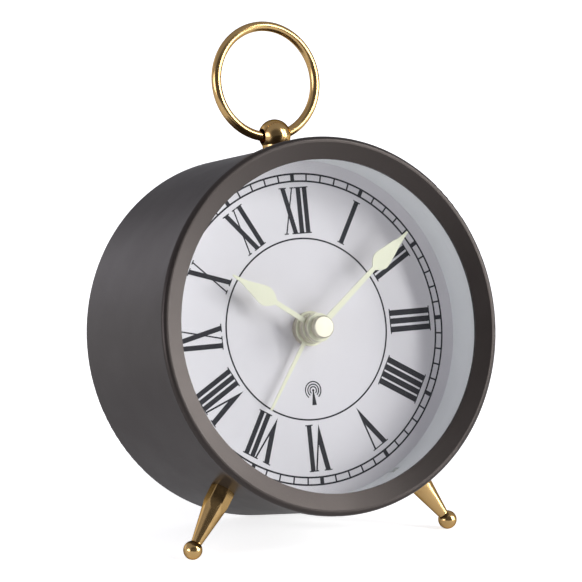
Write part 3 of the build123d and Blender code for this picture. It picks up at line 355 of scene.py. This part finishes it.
def battery_jacket():
    """Foil jacket of the cell: dark body, a copper band at one end, bare steel at both ends."""
    made = Finish("battery_jacket", (0.028, 0.029, 0.032), 0.26, 0.45)
    low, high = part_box("aa_battery")
    along = made.axis_value((1.0, 0.0, 0.0), high.x)
    made.tint(made.span(along, -CELL_BAND * MM, (0.4 - CELL_BAND) * MM), CELL_COPPER)
    made.tint(made.span(along, -CELL_TERMINAL * MM, (0.2 - CELL_TERMINAL) * MM), CELL_STEEL)
    other = made.axis_value((-1.0, 0.0, 0.0), -low.x)
    made.tint(made.span(other, -CELL_REAR_EDGE * MM, (0.1 - CELL_REAR_EDGE) * MM), CELL_STEEL)
    made.rough(made.noise(350.0, 4.0), 0.2, 0.34)
    made.relief(made.noise(240.0, 3.0), 0.02, 0.3)
    return made


FINISHES = {
    "graphite_metal": graphite_metal(),
    "polished_brass": polished_brass(),
    "champagne_metal": champagne_metal(),
    "front_glass": front_glass(),
    "white_plastic": white_plastic(),
    "dial_card": dial_card(),
    "light_lens": light_lens(),
    "hand_paint": hand_paint(),
    "black_plastic": moulded("black_plastic", (0.018, 0.018, 0.019), 0.46, 2600.0, 0.02),
    "grey_plastic": moulded("grey_plastic", (0.34, 0.35, 0.36), 0.48, 2200.0, 0.015),
    "gear_plastic": moulded("gear_plastic", (0.80, 0.77, 0.68), 0.36, 1800.0, 0.005),
    "zinc_steel": zinc_steel(),
    "copper_wire": copper_wire(),
    "board_green": board_green(),
    "component_black": moulded("component_black", (0.022, 0.022, 0.024), 0.4, 3000.0, 0.01),
    "ferrite": ferrite(),
    "battery_jacket": battery_jacket(),
}
INK = dial_ink()


def dress_cad_nodes():
    """Give every CAD node the finish of its material slot."""
    for part in frame["record"]["subparts"]:
        node = frame["nodes"][part["node"]]
        finish = FINISHES[part["material_slot"]].material
        if not node.material_slots:
            node.data.materials.append(finish)
        for held in node.material_slots:
            held.material = finish


# ---------------------------------------------------------------- dial printing
# The ink's two levels over the dial's face. Its underside lies just inside the card, so no gap shows.
INK_LOW, INK_HIGH = -0.02, 0.03

# The minute track and the circle inside the numerals.
TRACK_OUTER_R = 39.8
TRACK_INNER_R = 37.9
TRACK_LINE = 0.45
MINUTE_TICK = 0.42
HOUR_TICK = 1.08
INNER_CIRCLE_R = 23.2
INNER_CIRCLE_LINE = 0.42
CIRCLE_STEPS = 240

# The numerals, upright with their feet towards the centre. A leaning stroke's values are measured
# from its letter's middle, and the V's from its point.
FOOT_R = 24.4
NUMERAL_H = 12.0
BAR, PITCH = 1.28, 1.82
BAR_AND_PITCH = {"III": (1.46, 2.12), "IIII": (1.50, 2.00)}
SERIF_T = 0.30
OVERHANG = 0.42
X_LEAN = 1.36
X_TO_I = 3.12
THIN = 0.36
V_LEFT, V_RIGHT = -2.40, 1.95
V_STEM, V_THIN = 1.40, 0.45
V_TO_I = 2.74

NUMERALS = ("XII", "I", "II", "III", "IIII", "V", "VI", "VII", "VIII", "IX", "X", "XI")
RULED_HEAD = ("V", "IIII")
RULED_FOOT = ("IIII",)

# The radio mark: a mast under three open arcs.
MAST_TOP, MAST_BASE = -15.7, -19.5
MAST_HALF_TOP, MAST_HALF_BASE = 0.12, 0.65
WAVE_RADII = (2.23, 1.55, 0.92)
WAVE_LINE = 0.3
WAVE_START, WAVE_END = -52.0, 232.0
WAVE_STEPS = 48
LAMP_R = 0.32
LAMP_STEPS = 16

# Points closer than this many millimetres become one.
MERGE_DISTANCE = 1e-6


def union_faces(polygons):
    """The points and triangles that overlapping polygons cover together."""
    points, faces = [], []
    for polygon in polygons:
        faces.append(list(range(len(points), len(points) + len(polygon))))
        points.extend(Vector(p) for p in polygon)
    merged, _, cells, _, _, sources = delaunay_2d_cdt(points, [], faces, 0, MERGE_DISTANCE)
    return merged, [tuple(cell) for cell, source in zip(cells, sources) if source]


def printed(name, polygons):
    """A thin layer of ink on the dial, of the shape that the polygons cover together."""
    points, triangles = union_faces(polygons)
    count = len(points)
    outline = set()
    for a, b, c in triangles:
        for start, end in ((a, b), (b, c), (c, a)):
            if (end, start) in outline:
                outline.remove((end, start))
            else:
                outline.add((start, end))
    vertices = [dial(p.x, p.y, level) for level in (INK_HIGH, INK_LOW) for p in points]
    faces = list(triangles)
    faces += [(c + count, b + count, a + count) for a, b, c in triangles]
    faces += [(a, a + count, b + count, b) for a, b in sorted(outline)]
    mesh = bpy.data.meshes.new(name)
    mesh.from_pydata(vertices, [], faces)
    mesh.validate()
    mesh.update()
    mesh.materials.append(INK.material)
    piece = bpy.data.objects.new(name, mesh)
    bpy.context.scene.collection.objects.link(piece)
    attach(piece, "case")


def arc_band(radius, width, start=0.0, end=360.0, centre=(0.0, 0.0), steps=CIRCLE_STEPS):
    """The quads of a circular line, its angles measured from +x."""
    quads = []
    inner, outer = radius - width / 2, radius + width / 2

    def at(r, step):
        angle = math.radians(start + (end - start) * step / steps)
        return (centre[0] + r * math.cos(angle), centre[1] + r * math.sin(angle))

    for step in range(steps):
        quads.append([at(inner, step), at(outer, step), at(outer, step + 1), at(inner, step + 1)])
    return quads


def turned_clockwise(polygon, clock_angle):
    """A polygon turned clockwise about the dial's centre, by degrees."""
    angle = math.radians(clock_angle)
    c, s = math.cos(angle), math.sin(angle)
    return [(x * c + y * s, y * c - x * s) for x, y in polygon]


def tick(clock_angle, width):
    """A tick across the minute track."""
    half = width / 2
    inner, outer = TRACK_INNER_R, TRACK_OUTER_R
    return turned_clockwise([(-half, inner), (half, inner), (half, outer), (-half, outer)], clock_angle)


def stroke(bottom, top, width):
    """A stroke from the numeral's foot to its head, with level ends."""
    half = width / 2
    return [(bottom - half, 0.0), (bottom + half, 0.0), (top + half, NUMERAL_H), (top - half, NUMERAL_H)]


def level_line(left, right, at_head):
    """A fine level line at the head or the foot of a numeral."""
    low = NUMERAL_H - SERIF_T if at_head else 0.0
    return [(left, low), (right, low), (right, low + SERIF_T), (left, low + SERIF_T)]


def serif(centre, width, at_head):
    """A level serif over one end of a stroke."""
    half = width / 2 + OVERHANG
    return level_line(centre - half, centre + half, at_head)


def letter_i(x, bar):
    """A plain bar with a serif at each end."""
    return [stroke(x, x, bar), serif(x, bar, True), serif(x, bar, False)]


def letter_x(x):
    """A heavy stroke down to the right, crossed by a light one."""
    shapes = [stroke(x + X_LEAN, x - X_LEAN, BAR), stroke(x - X_LEAN, x + X_LEAN, THIN)]
    shapes += [serif(x - X_LEAN, BAR, True), serif(x + X_LEAN, BAR, False)]
    shapes += [serif(x + X_LEAN, THIN, True), serif(x - X_LEAN, THIN, False)]
    return shapes


def letter_v(x):
    """A heavy left stroke and a light right one, meeting in a point at the foot."""
    left, right = x + V_LEFT, x + V_RIGHT
    crotch = V_STEM * NUMERAL_H / (V_RIGHT - V_LEFT)
    crotch_x = x + V_RIGHT * crotch / NUMERAL_H
    heavy = [(x, 0.0), (crotch_x, crotch), (left + V_STEM, NUMERAL_H), (left, NUMERAL_H)]
    light = [(x, 0.0), (right, NUMERAL_H), (right - V_THIN, NUMERAL_H), (crotch_x - V_THIN, crotch)]
    heavy_serif = serif(left + V_STEM / 2, V_STEM, True)
    light_serif = serif(right - V_THIN / 2, V_THIN, True)
    return [heavy, light, heavy_serif, light_serif]


def advance(before, letter, pitch):
    """The distance from one letter to the next."""
    if "X" in (before, letter):
        return X_TO_I
    return V_TO_I if "V" in (before, letter) else pitch


def numeral(text):
    """A numeral's polygons, upright, with its feet on y = 0 and centred on x = 0."""
    bar, pitch = BAR_AND_PITCH.get(text, (BAR, PITCH))
    shapes, x, before = [], 0.0, ""
    for letter in text:
        if before:
            x += advance(before, letter, pitch)
        if letter == "I":
            shapes += letter_i(x, bar)
        else:
            shapes += letter_v(x) if letter == "V" else letter_x(x)
        before = letter
    reach = [p[0] for shape in shapes for p in shape]
    left, right = min(reach), max(reach)
    if text in RULED_HEAD:
        shapes.append(level_line(left, right, True))
    if text in RULED_FOOT:
        shapes.append(level_line(left, right, False))
    shift = -(left + right) / 2
    return [[(px + shift, py) for px, py in shape] for shape in shapes]


def print_dial():
    """The minute track, the numerals, the inner circle and the radio mast."""
    track = arc_band(TRACK_OUTER_R, TRACK_LINE) + arc_band(TRACK_INNER_R, TRACK_LINE)
    for minute in range(60):
        track.append(tick(minute * 6.0, MINUTE_TICK if minute % 5 else HOUR_TICK))
    printed("minute_track", track)
    printed("inner_circle", arc_band(INNER_CIRCLE_R, INNER_CIRCLE_LINE))
    for hour, text in enumerate(NUMERALS):
        shapes = []
        for shape in numeral(text):
            shapes.append(turned_clockwise([(x, FOOT_R + y) for x, y in shape], hour * 30.0))
        printed(f"numeral_{hour or 12:02d}", shapes)
    lamp = (0.0, MAST_TOP)
    left_side = [(-MAST_HALF_TOP, MAST_TOP), (-MAST_HALF_BASE, MAST_BASE)]
    right_side = [(MAST_HALF_BASE, MAST_BASE), (MAST_HALF_TOP, MAST_TOP)]
    mast = [left_side + right_side]
    for radius in WAVE_RADII:
        mast += arc_band(radius, WAVE_LINE, WAVE_START, WAVE_END, lamp, WAVE_STEPS)
    mast += arc_band(LAMP_R / 2, LAMP_R, 0.0, 360.0, lamp, LAMP_STEPS)
    printed("radio_mark", mast)


# ---------------------------------------------------------------- studio
# The camera, in dial coordinates, its lens and sensor in millimetres, and its clipping in metres.
CAMERA_AT = (-458.4, -15.1, 842.9)
CAMERA_AIM = (-3.55, 10.02, 0.0)
CAMERA_UP = (0.07461, 0.99476, 0.06995)
LENS, SENSOR = 232.55, 36.0
CLIP_NEAR, CLIP_FAR = 0.05, 20.0

# The soft boxes: directions in dial coordinates, power in watts, distance in millimetres, and size
# in metres.
KEY_FROM, KEY_POWER = (0.78, 0.18, 1.0), 55.0
EDGE_FROM, EDGE_POWER = (1.73, 0.0, 1.0), 55.0
BOX_DISTANCE = 3000.0
BOX_WIDTH, BOX_HEIGHT = 0.44, 2.77


def place_camera():
    """The camera that sees the clock from a little to the left of its dial."""
    data = bpy.data.cameras.new("camera")
    data.lens = LENS
    data.sensor_width = SENSOR
    data.clip_start, data.clip_end = CLIP_NEAR, CLIP_FAR
    camera = bpy.data.objects.new("camera", data)
    bpy.context.scene.collection.objects.link(camera)
    at = dial(*CAMERA_AT)
    forward = (dial(*CAMERA_AIM) - at).normalized()
    right = forward.cross(heading(*CAMERA_UP)).normalized()
    up = right.cross(forward)
    camera.matrix_world = Matrix(
        [
            (right.x, up.x, -forward.x, at.x),
            (right.y, up.y, -forward.y, at.y),
            (right.z, up.z, -forward.z, at.z),
            (0.0, 0.0, 0.0, 1.0),
        ]
    )
    bpy.context.scene.camera = camera


def soft_box(name, direction, power):
    """An upright soft box that faces the dial's centre from a direction in dial coordinates."""
    data = bpy.data.lights.new(name, "AREA")
    data.shape = "RECTANGLE"
    data.size = BOX_WIDTH
    data.size_y = BOX_HEIGHT
    data.energy = power
    light = bpy.data.objects.new(name, data)
    bpy.context.scene.collection.objects.link(light)
    light.location = CENTRE + heading(*direction).normalized() * BOX_DISTANCE * MM
    light.rotation_mode = "QUATERNION"
    light.rotation_quaternion = (CENTRE - light.location).to_track_quat("-Z", "Y")


def studio_lights():
    """A key that lights the dial, and an edge light that the bezel's dish mirrors on the left."""
    soft_box("key", KEY_FROM, KEY_POWER)
    soft_box("edge", EDGE_FROM, EDGE_POWER)


# The room's light: its level, its colour, and the level that the camera sees behind the clock.
ROOM_LEVEL = 0.42
ROOM_COLOR = (0.96, 0.95, 1.03, 1.0)
BACKDROP_LEVEL = 1.05
WHITE = (1.0, 1.0, 1.0, 1.0)

# Lighter and darker parts of the room: direction in the frame, inner and outer half-angle, and level.
ROOM_PARTS = (
    ((0.0, 0.2, 1.0), 20.0, 60.0, 0.40),
    ((0.42, 0.90, 0.12), 18.0, 40.0, 0.26),
    ((-0.48, 0.86, 0.06), 11.0, 33.0, 1.12),
    ((-0.26, -0.96, 0.12), 36.0, 60.0, 0.12),
    ((-0.985, -0.15, 0.06), 9.0, 24.0, 5.4),
)


def studio_room():
    """An even room with lighter and darker parts, dark in front, and plain white behind the clock."""
    world = bpy.data.worlds.new("room")
    bpy.context.scene.world = world
    world.use_nodes = True
    nodes, links = world.node_tree.nodes, world.node_tree.links
    facing = nodes.new("ShaderNodeTexCoord").outputs["Generated"]
    level = None
    for centre, inner, outer, part_level in ROOM_PARTS:
        dot = nodes.new("ShaderNodeVectorMath")
        dot.operation = "DOT_PRODUCT"
        links.new(facing, dot.inputs[0])
        dot.inputs[1].default_value = Vector(centre).normalized()
        share = nodes.new("ShaderNodeMapRange")
        share.interpolation_type = "SMOOTHSTEP"
        links.new(dot.outputs["Value"], share.inputs["Value"])
        share.inputs["From Min"].default_value = math.cos(math.radians(outer))
        share.inputs["From Max"].default_value = math.cos(math.radians(inner))
        mix = nodes.new("ShaderNodeMix")
        links.new(share.outputs["Result"], mix.inputs["Factor"])
        if level is None:
            mix.inputs["A"].default_value = ROOM_LEVEL
        else:
            links.new(level, mix.inputs["A"])
        mix.inputs["B"].default_value = part_level
        level = mix.outputs["Result"]
    room = nodes["Background"]
    room.inputs["Color"].default_value = ROOM_COLOR
    links.new(level, room.inputs["Strength"])
    backdrop = nodes.new("ShaderNodeBackground")
    backdrop.inputs["Color"].default_value = WHITE
    backdrop.inputs["Strength"].default_value = BACKDROP_LEVEL
    rays = nodes.new("ShaderNodeLightPath")
    pick = nodes.new("ShaderNodeMixShader")
    links.new(rays.outputs["Is Camera Ray"], pick.inputs["Fac"])
    links.new(room.outputs["Background"], pick.inputs[1])
    links.new(backdrop.outputs["Background"], pick.inputs[2])
    links.new(pick.outputs["Shader"], nodes["World Output"].inputs["Surface"])


# The floor: half its side in metres, the glow it lights the clock with, and the glow the camera sees.
FLOOR_HALF = 3.0
FLOOR_GLOW, FLOOR_SEEN_GLOW = 0.2, 0.75


def studio_floor():
    """A pale, slightly glowing floor under the clock."""
    finish = Finish("floor_white", (0.9, 0.9, 0.9), 0.7)
    finish.shader.inputs["Emission Color"].default_value = WHITE
    seen = finish.node("ShaderNodeLightPath").outputs["Is Camera Ray"]
    glow = finish.span(seen, 0.0, 1.0, FLOOR_GLOW, FLOOR_SEEN_GLOW)
    finish.link(glow, finish.shader.inputs["Emission Strength"])
    finish.rough(finish.noise(8.0, 2.0), 0.6, 0.8)
    mesh = bpy.data.meshes.new("floor")
    corners = [(-1, -1), (1, -1), (1, 1), (-1, 1)]
    mesh.from_pydata([(x * FLOOR_HALF, y * FLOOR_HALF, 0.0) for x, y in corners], [], [(0, 1, 2, 3)])
    mesh.materials.append(finish.material)
    floor = bpy.data.objects.new("floor", mesh)
    bpy.context.scene.collection.objects.link(floor)


dress_cad_nodes()
print_dial()
place_camera()
studio_lights()
studio_room()
studio_floor()
bpy.context.scene.view_settings.view_transform = "Standard"
